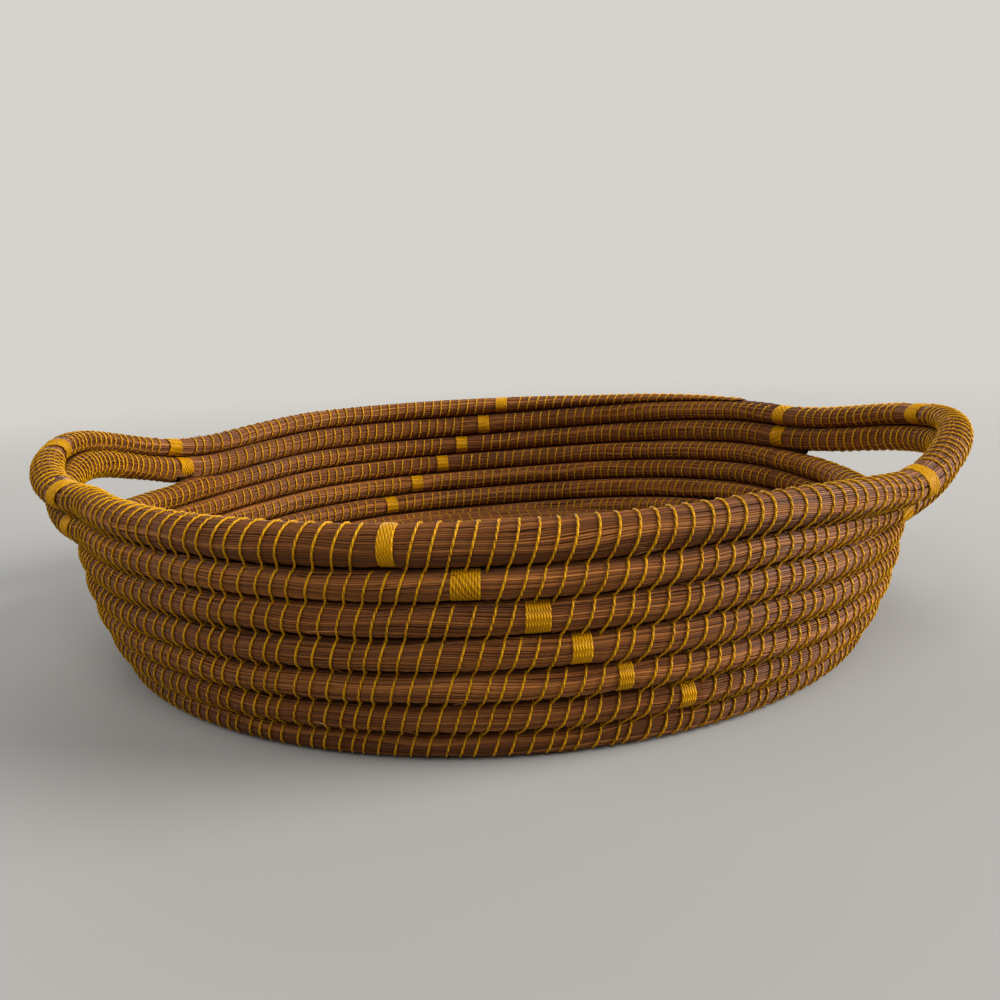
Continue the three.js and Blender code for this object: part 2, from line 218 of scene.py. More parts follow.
def coilPoint(rounds):
    radius, height, _, _ = coilBundle(rounds)
    return polar(form["climbEnd"] - 360 * rounds, radius, height)


def coilSections(rounds):
    _, _, halfWidth, halfHeight = coilBundle(rounds)
    halfHeight = halfHeight * settled(form["climbEnd"] - 360 * rounds)
    return sections(coilPoint, rounds, -form["roundsStep"], np.zeros_like(rounds), halfWidth, halfHeight)


def hump(angle, middle, halfSpan, flatness):
    return (1 - np.abs(across(angle, middle, halfSpan)) ** flatness) ** 2


# how far along a handle an angle is: 1 at its middle, 0 outside it
def handleShare(angle, handle):
    return hump(angle, handle["middle"], handle["halfSpan"], handle["flatness"])


def onHandle(angle):
    return sum(handleShare(angle, handle) for handle in handles)


def handleBow(angle):
    return sum(handle["bow"] * handleShare(angle, handle) for handle in handles)


def handleLean(angle):
    total = np.zeros_like(angle)
    for handle in handles:
        middle, halfSpan = handle["leanMiddle"], handle["leanHalfSpan"]
        total = total + handle["lean"] * hump(angle, middle, halfSpan, handle["flatness"])
    return total


def handleLift(angle):
    total = np.zeros_like(angle)
    for handle in handles:
        place = across(angle, handle["middle"], handle["halfSpan"]) ** 2
        total = total + handle["lift"] * (1 - place) ** 2 * (1 - handle["shoulder"] * place)
    return total


def frontShare(angle):
    front = hump(angle, form["frontMiddle"], form["frontHalfSpan"], form["frontFlatness"])
    return form["frontFullness"] * front


def upperHalfHeight(angle):
    return form["rimHalfHeight"] + frontShare(angle)


def lowerHalfHeight(angle):
    return form["lowerRimHalfHeight"] - frontShare(angle)


# a leaning row stands a little higher, on the edge of its flat underside
def edgeRise(angle):
    tip = np.radians(handleLean(angle))
    flatHalfWidth = form["rowHalfWidth"] * math.tan(math.pi / form["rowSides"])
    return np.maximum(flatHalfWidth * np.sin(tip) - lowerHalfHeight(angle) * (1 - np.cos(tip)), 0)


def lowerRimHeight(angle):
    return wallTop + form["rowGap"] + lowerHalfHeight(angle) + handleLift(angle) + edgeRise(angle)


def lowerRimPoint(angle):
    return polar(angle, rowRadius(form["lowerRimRow"]) + handleBow(angle), lowerRimHeight(angle))


def rimUp(angle):
    widths = np.ones_like(angle)
    return sections(lowerRimPoint, angle, form["angleStep"], handleLean(angle), widths, widths)["up"]


def upperRimPoint(angle):
    return lowerRimPoint(angle) + rimUp(angle) * (rimStep * settled(angle))[:, None]


# share of the climb that a row has made: on the back the lower rim row climbs and becomes the upper row of
# the right handle
def climbed(angle):
    return smooth((form["climbStart"] - 360 - angle) / climbSpan)


def lowerRowPoint(angle):
    return mix(lowerRimPoint(angle), upperRimPoint(angle), climbed(angle)[:, None])


def lowerRowHalfHeight(angle):
    return mix(lowerHalfHeight(angle), upperHalfHeight(angle), climbed(angle)) * settled(angle)


def lowerRowSections(angle):
    halfWidth = mix(form["rowHalfWidth"], form["rimHalfWidth"], climbed(angle))
    halfHeight = lowerRowHalfHeight(angle)
    return sections(lowerRowPoint, angle, form["angleStep"], handleLean(angle), halfWidth, halfHeight)


# the upper row lies on that climb and thins out below the level of the rim
def upperRowHalfHeight(angle):
    room = (1 - climbed(angle)) * rimStep + upperHalfHeight(angle) - form["rowGap"]
    return (room * settled(angle) - lowerRowHalfHeight(angle)) / 2


def upperRowPoint(angle):
    rise = upperHalfHeight(angle) * settled(angle) - upperRowHalfHeight(angle)
    return upperRimPoint(angle) + rimUp(angle) * rise[:, None]


def upperRowSections(angle):
    halfHeight = upperRowHalfHeight(angle)
    fullness = halfHeight / (upperHalfHeight(angle) * settled(angle))
    halfWidth = form["rimHalfWidth"] * mix(form["endTailWidthShare"], 1, fullness)
    return sections(upperRowPoint, angle, form["angleStep"], handleLean(angle), halfWidth, halfHeight)


def rowRounds(row, angle):
    return baseRounds + form["rowCount"] - row + (form["climbEnd"] - angle) / 360


def rowSections(row, angle):
    if row == form["upperRimRow"]:
        return upperRowSections(angle)
    if row == form["lowerRimRow"]:
        return lowerRowSections(angle)
    return coilSections(rowRounds(row, angle))


# a point on or off a row's skin: turn 0 is outwards, 90 upwards, and slide shifts it along the row
def onSkin(cut, turn, proudOut, proudUp, slide=0.0):
    sideways = (cut["halfWidth"] + proudOut) * np.cos(turn)
    upwards = (cut["halfHeight"] + proudUp) * np.sin(turn)
    slide = np.broadcast_to(slide, sideways.shape)
    return (cut["centre"] + cut["out"] * sideways[..., None] + cut["up"] * upwards[..., None]
            + cut["along"] * slide[..., None])


def awayFromMiddle(cut, turn):
    return cut["out"] * np.cos(turn)[..., None] + cut["up"] * np.sin(turn)[..., None]


# materials: paint turns a screen colour into the linear one that a shader takes
def paint(*screen):
    linear = []
    for channel in screen:
        value = channel / 255
        linear.append(value / 12.92 if channel <= 10 else ((value + 0.055) / 1.055) ** 2.4)
    return (*linear, 1.0)


def newMaterial(name):
    material = bpy.data.materials.new(name)
    material.use_nodes = True
    tree = material.node_tree
    return material, tree.nodes, tree.links, tree.nodes["Principled BSDF"]


def addNoise(nodes, links, place, scale, detail):
    noise = nodes.new("ShaderNodeTexNoise")
    noise.inputs["Scale"].default_value = scale
    noise.inputs["Detail"].default_value = detail
    links.new(place, noise.inputs["Vector"])
    return noise.outputs["Fac"]


def addRange(nodes, links, value, source, target):
    spread = nodes.new("ShaderNodeMapRange")
    spread.inputs["From Min"].default_value, spread.inputs["From Max"].default_value = source
    spread.inputs["To Min"].default_value, spread.inputs["To Max"].default_value = target
    links.new(value, spread.inputs["Value"])
    return spread.outputs["Result"]


# a value or a socket goes into each input
def addMath(nodes, links, operation, *values):
    step = nodes.new("ShaderNodeMath")
    step.operation = operation
    for place, value in zip(step.inputs, values):
        if isinstance(value, float):
            place.default_value = value
        else:
            links.new(value, place)
    return step.outputs["Value"]


def addRamp(nodes, links, value, stops):
    ramp = nodes.new("ShaderNodeValToRGB")
    elements = ramp.color_ramp.elements
    elements[0].position, elements[0].color = stops[0]
    elements[1].position, elements[1].color = stops[-1]
    for place, colour in stops[1:-1]:
        elements.new(place).color = colour
    links.new(value, ramp.inputs["Fac"])
    return ramp.outputs["Color"]


def addBump(nodes, links, height, look, shader):
    bump = nodes.new("ShaderNodeBump")
    bump.inputs["Strength"].default_value = look["bumpStrength"]
    bump.inputs["Distance"].default_value = look["bumpHeight"]
    links.new(height, bump.inputs["Height"])
    links.new(bump.outputs["Normal"], shader.inputs["Normal"])


def addStrandMap(nodes):
    strandMap = nodes.new("ShaderNodeUVMap")
    strandMap.uv_map = "strandMap"
    return strandMap.outputs["UV"]


def addPlace(nodes):
    return nodes.new("ShaderNodeTexCoord").outputs["Object"]


needleFinish = {
    "tintStops": [
        # tint 0, the darkest stop, is painted shade: the bundles' hearts and the sheets in the grooves take
        # it, and the groove's painted shade pulls needles towards it
        (0.0, paint(34, 18, 6)),
        (0.12, paint(64, 34, 13)),
        (0.5, paint(110, 63, 23)),
        (0.82, paint(154, 98, 46)),
        (1.0, paint(206, 154, 104)),
    ],
    "streaksAround": 5.0,
    "streaksAlong": 60.0,
    "streakDetail": 3.0,
    "patches": 22.0,
    "patchDetail": 2.0,
    "noiseRange": (0.3, 0.7),
    "streakShade": (0.72, 1.25),
    "patchShade": (0.84, 1.14),
    "roughness": (0.38, 0.62),
    "bumpStrength": 0.35,
    "bumpHeight": 0.0002,
    "shine": 0.14,
    "fullShineTint": 0.2,
}


def makeNeedleMaterial():
    look = needleFinish
    material, nodes, links, shader = newMaterial("driedNeedles")
    tint = nodes.new("ShaderNodeAttribute")
    tint.attribute_name = "tint"
    colour = addRamp(nodes, links, tint.outputs["Fac"], look["tintStops"])
    # fine streaks that run along each needle
    stretch = nodes.new("ShaderNodeMapping")
    stretch.inputs["Scale"].default_value = (look["streaksAround"], look["streaksAlong"], 1)
    links.new(addStrandMap(nodes), stretch.inputs["Vector"])
    streaks = addNoise(nodes, links, stretch.outputs["Vector"], 1.0, look["streakDetail"])
    # broad patches where the bundle is paler or darker
    patches = addNoise(nodes, links, addPlace(nodes), look["patches"], look["patchDetail"])
    streakShade = addRange(nodes, links, streaks, look["noiseRange"], look["streakShade"])
    patchShade = addRange(nodes, links, patches, look["noiseRange"], look["patchShade"])
    tinted = nodes.new("ShaderNodeVectorMath")
    tinted.operation = "SCALE"
    links.new(colour, tinted.inputs["Vector"])
    links.new(addMath(nodes, links, "MULTIPLY", streakShade, patchShade), tinted.inputs["Scale"])
    links.new(tinted.outputs["Vector"], shader.inputs["Base Color"])
    roughness = addRange(nodes, links, streaks, look["noiseRange"], look["roughness"])
    links.new(roughness, shader.inputs["Roughness"])
    addBump(nodes, links, streaks, look, shader)
    # the heart and the sheets of painted shade don't shine, and needles darkened most by the groove's
    # painted shade shine less
    shine = addRange(nodes, links, tint.outputs["Fac"], (0.0, look["fullShineTint"]), (0.0, look["shine"]))
    shader.inputs["Specular IOR Level"].default_value = look["shine"]
    links.new(shine, shader.inputs["Specular IOR Level"])
    return material


threadFinish = {
    "colourStops": [(0.35, paint(120, 74, 2)), (0.9, paint(198, 142, 5))],
    "plies": 2.0,
    "plyShadeShare": 0.55,
    "wear": 120.0,
    "wearDetail": 2.0,
    "bumpStrength": 0.6,
    "bumpHeight": 0.00025,
    "roughness": 0.5,
    "shine": 0.08,
}


def makeThreadMaterial():
    look = threadFinish
    material, nodes, links, shader = newMaterial("waxedThread")
    # two plies: stripes that wind round the thread, once round for each unit along the map; the creases
    # between them are painted darker as painted shade
    split = nodes.new("ShaderNodeSeparateXYZ")
    links.new(addStrandMap(nodes), split.inputs["Vector"])
    around = addMath(nodes, links, "MULTIPLY_ADD", split.outputs["X"], look["plies"], split.outputs["Y"])
    ply = addMath(nodes, links, "COSINE", addMath(nodes, links, "MULTIPLY", around, 2 * math.pi))
    height = addRange(nodes, links, ply, (-1.0, 1.0), (0.0, 1.0))
    wear = addNoise(nodes, links, addPlace(nodes), look["wear"], look["wearDetail"])
    # painted shade in the creases between the plies, with random wear on top
    amount = addMath(nodes, links, "MULTIPLY_ADD", height, look["plyShadeShare"], wear)
    links.new(addRamp(nodes, links, amount, look["colourStops"]), shader.inputs["Base Color"])
    addBump(nodes, links, height, look, shader)
    shader.inputs["Roughness"].default_value = look["roughness"]
    shader.inputs["Specular IOR Level"].default_value = look["shine"]
    return material


needleMaterial = makeNeedleMaterial()
threadMaterial = makeThreadMaterial()
print("materials made")


# one mesh of tubes through loops[tube, ring, side], with a tint for each ring and a map:
# once round the tube across, the given measure along
def tubeMesh(name, loops, tints, mapAlong, material):
    count, rings, sides = loops.shape[:3]
    index = np.arange(count * rings * sides).reshape(count, rings, sides)
    after = np.roll(index, -1, axis=2)
    skin = np.stack([index[:, :-1], after[:, :-1], after[:, 1:], index[:, 1:]], -1).reshape(-1, 4)
    ends = []
    for k in range(1, sides - 2, 2):
        ends.append(index[:, -1][:, [0, k, k + 1, k + 2]])
        ends.append(index[:, 0][:, [k + 2, k + 1, k, 0]])
    faces = np.concatenate([skin] + ends)
    mesh = bpy.data.meshes.new(name)
    mesh.from_pydata(loops.reshape(-1, 3), [], faces)
    ringPlace = np.broadcast_to(mapAlong[:, :, None], index.shape).reshape(-1)
    sidePlace = np.broadcast_to((np.arange(sides) / sides)[None, None], index.shape).reshape(-1)
    corners = np.stack([sidePlace[faces], ringPlace[faces]], -1)
    # on the faces that close the round, the corners at its start count as a full round
    halfRound = 1 / 2
    closing = corners[..., 0].max(1) - corners[..., 0].min(1) > halfRound
    low = corners[..., 0] < halfRound / 2
    corners[..., 0] = np.where(closing[:, None] & low, corners[..., 0] + 1, corners[..., 0])
    mesh.uv_layers.new(name="strandMap").data.foreach_set("uv", corners.astype(np.float32).ravel())
    shades = mesh.attributes.new("tint", "FLOAT", "POINT")
    shades.data.foreach_set("value", np.repeat(tints.reshape(-1), sides).astype(np.float32))
    mesh.materials.append(material)
    mesh.shade_smooth()
    piece = bpy.data.objects.new(name, mesh)
    bpy.context.scene.collection.objects.link(piece)
    return piece


# one mesh of round strands: paths[strand, ring], the direction away from the bundle, and radii
def strandMesh(name, paths, away, radii, sides, tints, mapAlong, material):
    along = unit(np.gradient(paths, axis=1))
    first = unit(away - along * np.sum(away * along, -1, keepdims=True))
    second = np.cross(along, first)
    turn = 2 * math.pi * np.arange(sides) / sides
    spokes = (first[:, :, None] * np.cos(turn)[None, None, :, None]
              + second[:, :, None] * np.sin(turn)[None, None, :, None])
    loops = paths[:, :, None] + spokes * radii[:, :, None, None]
    return tubeMesh(name, loops, tints, mapAlong, material)


def joined(pieces):
    bpy.ops.object.select_all(action="DESELECT")
    for piece in pieces:
        piece.select_set(True)
    bpy.context.view_layer.objects.active = pieces[0]
    if len(pieces) > 1:
        bpy.ops.object.join()
    return pieces[0]


def placed(piece, slot, *nodes):
    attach(piece, "root")
    if nodes:
        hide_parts(*nodes)
    return piece


def pathLength(points):
    gaps = np.linalg.norm(np.diff(points, axis=-2), axis=-1)
    return np.concatenate([np.zeros_like(gaps[..., :1]), np.cumsum(gaps, -1)], -1)


# needles: each runs along its row, wanders a little, ends by diving under its neighbours; driftWaves are
# shares of driftWave and waves round the bundle
needles = {
    "wallSeed": 3,
    "rimSeed": 20,
    "baseSeed": 7,
    "aroundRow": 56,
    "aroundBase": 28,
    "turnSpread": 0.16,
    "waveSpread": (0.6, 1.7),
    "sizeSpread": (0.84, 1.18),
    "tintShape": (1.5, 2.2),
    "tintsEach": 64,
    "wavesEach": 2,
    "radius": 0.00040,
    "sides": 4,
    "length": 0.19,
    "mapOffset": 0.37,
    "wander": 0.03,
    "wanderWave": 0.07,
    "drift": 0.26,
    "driftWave": 0.085,
    "driftWaves": [(1.0, 1), (0.53, 2), (1.9, 1)],
    "grooveFreedom": 0.3,
    "sink": 0.00007,
    "sinkWave": 0.045,
    "dive": 0.0003,
    "diveLength": 0.003,
    "slimBelow": 0.0014,
    "slimmest": 0.35,
    "dent": 0.00014,
    "swell": 0.00005,
    "bandNeck": 0.00055,
    "neckReach": 1.6,
    "endRoom": 0.3,
    "endDent": 0.5,
    "hiddenHalfTurn": 0.24,
    "heartSides": 10,
    "heartInset": 0.0009,
    "shadeSheetHalfWidth": 0.0015,
    "baseStep": 0.0045,
    "mostBaseStep": 1 / 30,
    "baseSplit": 0.52,
    "baseThickness": 1.4,
    "leastTint": 0.22,
    "tintSpread": 0.66,
    "grooveShade": 0.85,
    "grooveHalfTurn": 0.6,
}


def needlePlan(seed, count):
    rng = np.random.default_rng(seed)
    spread = needles["turnSpread"]
    # one set of waves for wandering and one for sinking
    shape = (2 * needles["wavesEach"], count)
    return {
        "turn": 2 * math.pi * (np.arange(count) + rng.uniform(-spread, spread, count)) / count,
        "phase": rng.uniform(0, 2 * math.pi, shape),
        "wave": rng.uniform(*needles["waveSpread"], shape),
        "start": rng.uniform(0, 1, count),
        "size": rng.uniform(*needles["sizeSpread"], count),
        "tints": rng.beta(*needles["tintShape"], (count, needles["tintsEach"])),
        "drift": rng.uniform(0, 2 * math.pi, (len(needles["driftWaves"]), 1)),
    }


# the turn round a row at which the row above or below lies against it
def contactTurn(row, other):
    further = (rowRadius(other) - rowRadius(row)) / form["rowHalfWidth"]
    return math.atan2((row - other) * rowPitch / form["rowHalfHeight"], further)


# how far a turn lies from another one, to either side
def turnOff(turn, other):
    return (turn - other + math.pi) % (2 * math.pi) - math.pi


# the plan without the needles that lie between two rows, where nothing shows them
def withoutHidden(plan, row):
    shown = np.ones(len(plan["turn"]), bool)
    for other in (row - 1, row + 1):
        if max(row, other) > form["topWallRow"] and other <= form["rowCount"]:
            off = turnOff(plan["turn"], contactTurn(row, other))
            shown &= np.abs(off) > needles["hiddenHalfTurn"]
    kept = dict(plan)
    for key in ("turn", "start", "size", "tints"):
        kept[key] = plan[key][shown]
    for key in ("phase", "wave"):
        kept[key] = plan[key][:, shown]
    return kept


def waves(plan, first, wave, run):
    total = 0
    for k in range(first, first + needles["wavesEach"]):
        cycles = run[None] / (wave * plan["wave"][k])[:, None]
        total = total + np.sin(2 * math.pi * cycles + plan["phase"][k][:, None])
    return total / needles["wavesEach"]


# needles beside each other drift round the bundle together, but less where it lies against another row
def drift(plan, run):
    total = 0
    for k, (wave, around) in enumerate(needles["driftWaves"]):
        phase = 2 * math.pi * run[None] / (needles["driftWave"] * wave) + plan["drift"][k]
        total = total + np.sin(phase + around * plan["turn"][:, None]) / len(needles["driftWaves"])
    free = mix(needles["grooveFreedom"], 1, np.cos(plan["turn"][:, None]) ** 2)
    return needles["drift"] * total * free


# a section grown upwards, downwards and to both sides, so that a bundle fills the gaps round its solid
def filled(cut, above, below, sides):
    grown = dict(cut)
    grown["centre"] = cut["centre"] + cut["up"] * np.asarray((above - below) / 2)[..., None]
    grown["halfHeight"] = cut["halfHeight"] + (above + below) / 2
    grown["halfWidth"] = cut["halfWidth"] + sides
    return grown


def needleBundle(name, cut, run, plan, dent, neck, slideAt, shade=0.0):
    wander = needles["wander"] * waves(plan, 0, needles["wanderWave"], run)
    turn = plan["turn"][:, None] + wander + drift(plan, run)
    place = run[None] / needles["length"] + plan["start"][:, None]
    halfNeedle = 1 / 2
    toEnd = (halfNeedle - np.abs(place % 1 - halfNeedle)) * needles["length"]
    dive = needles["dive"] * np.exp(-(toEnd / needles["diveLength"]) ** 2)
    sink = needles["sink"] * (1 + waves(plan, needles["wavesEach"], needles["sinkWave"], run))
    slim = np.clip(cut["halfHeight"] / needles["slimBelow"], needles["slimmest"], 1)[None]
    thickness = needles["radius"] * plan["size"][:, None] * slim
    inset = -thickness - (sink + dive) * slim + needles["swell"] * (1 - dent)[None]
    inset = inset - needles["dent"] * dent[None] - needles["bandNeck"] * neck[None]
    wide = {key: value[None] for key, value in cut.items()}
    slide = slideAt(plan["turn"][:, None]) * (1 - neck)[None]
    paths = onSkin(wide, turn, inset, inset, slide)
    number = np.floor(place).astype(int) % needles["tintsEach"]
    tints = np.take_along_axis(plan["tints"], number, axis=1)
    # painted shade: the groove's shade darkens the needles' tints
    tints = (needles["leastTint"] + needles["tintSpread"] * tints) * (1 - shade)
    mapAlong = run[None] + np.arange(len(turn))[:, None] * needles["mapOffset"]
    away = awayFromMiddle(wide, turn)
    skin = strandMesh(name, paths, away, thickness, needles["sides"], tints, mapAlong, needleMaterial)
    # heart of the bundle, painted the darkest tint as painted shade, seen only between the needles
    ringed = {key: value[None, :, None] for key, value in cut.items()}
    spokes = np.linspace(0, 2 * math.pi, needles["heartSides"], endpoint=False)[None, None]
    sunk = -(needles["heartInset"] * slim + needles["bandNeck"] * neck[None])[:, :, None]
    loops = onSkin(ringed, spokes, sunk, sunk)
    heart = tubeMesh(name + "_heart", loops, np.zeros((1, len(run))), run[None], needleMaterial)
    return joined([skin, heart])


# a sheet painted the darkest tint from the middle of a row to the middle of the next one, which closes the
# groove: painted shade where the rows meet
def shadeSheet(name, head, foot, reach, sideways, run):
    side = sideways * needles["shadeSheetHalfWidth"]
    end = mix(head["centre"], foot["centre"], reach[:, None])
    corners = [head["centre"] + side, head["centre"] - side, end - side, end + side]
    loops = np.stack(corners, 1)[None]
    return tubeMesh(name, loops, np.zeros((1, len(run))), run[None], needleMaterial)


# stitches: one thread winds up the outside, over the row and down its inside, a little further each time
stitching = {
    "seed": 11,
    "perRound": 190,
    "lineUpAt": -90.0,
    "lean": 0.0020,
    "moreLean": 0.0014,
    "moreLeanMiddle": -60.0,
    "moreLeanHalfSpan": 75.0,
    "moreLeanFlatness": 3,
    "handleCrowding": 0.55,
    "unevenness": 0.00030,
    "rowDrift": 0.00024,
    "mostDrift": 0.0008,
    "threadRadius": 0.00034,
    "proud": 0.00012,
    "points": 16,
    "dive": 0.0013,
    "diveFrom": 0.72,
    "bridgeTurn": 0.64,
    "bridgeSink": 0.0002,
    "bridgeReach": 0.0018,
    "openLift": 0.003,
    "clearLift": 0.0011,
    "basePitch": 0.0054,
    "basePoints": 10,
    "baseStart": 0.01,
    "baseSides": 4,
    "sides": 6,
    "twist": 0.0022,
    "from": -341.0,
    "to": 33.0,
    "gridStep": 0.02,
    "bandRoom": 0.35,
    "longestStep": 1.9,
}


# how far a stitch leans on its way up the outside of a row: most at the right front
def leanAt(angle):
    middle, halfSpan = stitching["moreLeanMiddle"], stitching["moreLeanHalfSpan"]
    more = hump(angle, middle, halfSpan, stitching["moreLeanFlatness"])
    return stitching["lean"] + stitching["moreLean"] * more


# the angles of each row's stitches: closer on the handles, each a lean further back than the one above
def stitchPlan():
    rng = np.random.default_rng(stitching["seed"])
    grid = np.arange(stitching["from"], stitching["to"], stitching["gridStep"])
    perDegree = stitching["perRound"] / 360
    plans = {}
    pulled = {}
    for row in range(1, form["rowCount"] + 1):
        crowd = np.ones_like(grid)
        if row <= form["lowerRimRow"]:
            crowd = 1 + stitching["handleCrowding"] * onHandle(grid)
        counted = np.cumsum(crowd) * stitching["gridStep"] * perDegree
        counted = counted - np.interp(stitching["lineUpAt"], grid, counted)
        numbers = np.arange(math.ceil(counted[0]), math.floor(counted[-1]) + 1)
        angles = np.interp(numbers, counted, grid)
        for number in numbers:
            spread = stitching["rowDrift"] if number in pulled else stitching["unevenness"]
            moved = pulled.get(number, 0) + rng.normal(0, spread)
            pulled[number] = float(np.clip(moved, -stitching["mostDrift"], stitching["mostDrift"]))
        shift = np.array([pulled[number] for number in numbers]) * math.degrees(1 / rowRadius(row))
        for _ in range(row - 1):
            angles = angles - np.degrees(leanAt(angles) / rowRadius(row))
        plans[row] = angles + shift
    return plans


stitchAngles = stitchPlan()


# how far along the row the thread has come when it is at a turn round the row, for a lean and a pitch
def stitchSlide(turn, lean, pitch):
    turn = (turn + math.pi / 2) % (2 * math.pi)
    outside = lean / 2 * -np.cos(turn)
    inside = lean / 2 + (pitch - lean) * (turn - math.pi) / math.pi
    return np.where(turn <= math.pi, outside, inside)


# a thread that winds round a row at the given places; diveAt sinks it and bridgeAt moves it to the next row
def threadAlong(name, sectionsAt, places, lean, points, radius, proudOut, proudUp, sides=stitching["sides"],
                diveAt=None, bridgeAt=None):
    turns = np.arange(points * (len(places) - 1) + points // 2 + 1) / points
    whole = np.minimum(turns.astype(int), len(places) - 1)
    ahead = np.append(np.diff(places), places[-1] - places[-2])[whole]
    turn = 2 * math.pi * (turns - whole) - math.pi / 2
    place = places[whole] + stitchSlide(turn, np.broadcast_to(lean, places.shape)[whole], ahead)
    cut = sectionsAt(place)
    dive = diveAt(place, turn) if diveAt else 0.0
    path = onSkin(cut, turn, proudOut, proudUp - dive)
    if bridgeAt:
        path = bridgeAt(place, turn, cut, path)
    path = path[None]
    away = awayFromMiddle(cut, turn)[None]
    run = pathLength(path)
    radii = np.full(run.shape, radius)
    mapAlong = run / stitching["twist"]
    return strandMesh(name, path, away, radii, sides, np.ones(run.shape), mapAlong, threadMaterial)


# rows lie close on each other, so each bundle fills half of the gap above and below it; the coil's end lies
# a little higher than the rim, and the slot of the left handle closes early at its back end
rowFill = {
    "tailRise": 0.0012,
    "tailMiddle": -312.0,
    "tailHalfSpan": 24.0,
    "slotClose": 0.0017,
    "slotMiddle": -203.0,
    "slotHalfSpan": 7.0,
    "flatness": 2,
}


def filledRow(row, angle):
    close = form["rowGap"] / 2 + 2 * needles["sink"]
    tail = hump(angle, rowFill["tailMiddle"], rowFill["tailHalfSpan"], rowFill["flatness"])
    slot = hump(angle, rowFill["slotMiddle"], rowFill["slotHalfSpan"], rowFill["flatness"])
    above = np.full_like(angle, close)
    below = np.full_like(angle, close)
    if row == form["upperRimRow"]:
        above = rowFill["tailRise"] * tail
    if row == form["lowerRimRow"]:
        below = close + rowFill["slotClose"] * slot
    if row == form["topWallRow"]:
        above = close + rowFill["slotClose"] * slot
    if row == form["rowCount"]:
        below = np.zeros_like(angle)
    return filled(rowSections(row, angle), above, below, 0.0)


# between two rows the thread sinks out of sight, but not where a handle stands clear of the wall
def rowDive(row, angle, turn):
    clear = np.clip(handleLift(angle) / stitching["openLift"], 0, 1)
    above = {form["upperRimRow"]: 0.0, form["topWallRow"]: 1 - clear}.get(row, 1.0)
    below = 1 - clear if row == form["lowerRimRow"] else 1.0
    height = np.sin(turn)
    depth = np.clip((np.abs(height) - stitching["diveFrom"]) / (1 - stitching["diveFrom"]), 0, 1) ** 2
    return stitching["dive"] * depth * np.where(height > 0, above, below)


# below the outside of a row its thread goes straight across the groove to the stitch of the next row
def rowBridge(row, angle, turn, cut, path):
    if row == form["rowCount"]:
        return path
    first = contactTurn(row, row + 1) + stitching["bridgeTurn"]
    last = contactTurn(row + 1, row) - stitching["bridgeTurn"]
    head = onSkin(cut, np.maximum(turn, first), stitching["proud"], stitching["proud"])
    nextRow = stitchAngles[row + 1]
    nextRow = nextRow + np.degrees(leanAt(nextRow) / 2 / rowRadius(row + 1)) * math.sin(last)
    straightDown = angle - np.degrees(leanAt(angle) / 2 / rowRadius(row)) * (1 + np.sin(turn))
    nearest = nextRow[np.abs(straightDown[:, None] - nextRow).argmin(1)]
    off = np.radians(np.abs(nearest - straightDown)) * rowRadius(row)
    below = filledRow(row + 1, np.where(off < stitching["bridgeReach"], nearest, straightDown))
    foot = onSkin(below, np.full_like(angle, last), -stitching["bridgeSink"], -stitching["bridgeSink"])
    share = np.clip((first - turn) / (first + math.pi / 2), 0, 1)
    clear = np.zeros_like(angle)
    if row == form["lowerRimRow"]:
        clear = np.clip(handleLift(angle) / stitching["clearLift"], 0, 1)
    onOutside = (turn < 0) * (1 - clear)
    return mix(path, mix(head, foot, share[:, None]), onOutside[:, None])


def rowStitches(name, row, start, end, bands):
    perDegree = math.radians(rowRadius(row))
    angles = stitchAngles[row]
    angles = angles[(angles >= start) & (angles <= end)]
    pitch = 360 / stitching["perRound"]
    for band in bands:
        room = band["width"] / 2 / perDegree + stitching["bandRoom"] * pitch
        angles = angles[np.abs(angles - band["angle"]) > room]
    breaks = np.where(np.diff(angles) > stitching["longestStep"] * pitch)[0] + 1
    lengths = [part for part in np.split(angles, breaks) if len(part) > 1]
    pieces = []
    for number, part in enumerate(lengths):
        pieces.append(threadAlong(
            f"{name}_{number}", lambda angle: filledRow(row, angle), part, leanAt(part) / perDegree,
            stitching["points"], stitching["threadRadius"], stitching["proud"], stitching["proud"],
            diveAt=lambda angle, turn: rowDive(row, angle, turn),
            bridgeAt=lambda angle, turn, cut, path: rowBridge(row, angle, turn, cut, path)))
    piece = joined(pieces)
    piece.name = name
    return placed(piece, "waxed_thread")


# wrapped bands: turns of the same thread laid side by side
bandForm = {
    "wrapPitch": 0.00072,
    "threadRadius": 0.00040,
    "proudOut": 0.00014,
    "proudUp": -0.00022,
    "points": 18,
    "leastTurns": 4,
    "frontAngles": [-100, -92.8, -86.2, -82, -77.4, -69.8],
    "frontWidths": [0.0042, 0.0074, 0.0064, 0.0052, 0.0040, 0.0044],
    "backAngles": [-273, -269, -264, -259.5, -253.5, -247],
    "backWidth": 0.007,
    "handleWidth": 0.007,
    "handleEnds": {
        "right": {
            "upper": {"front": -31.5, "bend": -2, "back": 23.8},
            "lower": {"front": -33.5, "back": 24.2},
        },
        "left": {
            "upper": {"front": -157.5, "bend": -175.3, "back": -201.5},
            "lower": {"front": -155.7, "back": -203},
        },
    },
}
levels = {"upper": form["upperRimRow"], "lower": form["lowerRimRow"]}


def bandAt(node, row, angle, width):
    return {"node": node, "row": row, "angle": angle, "width": width}


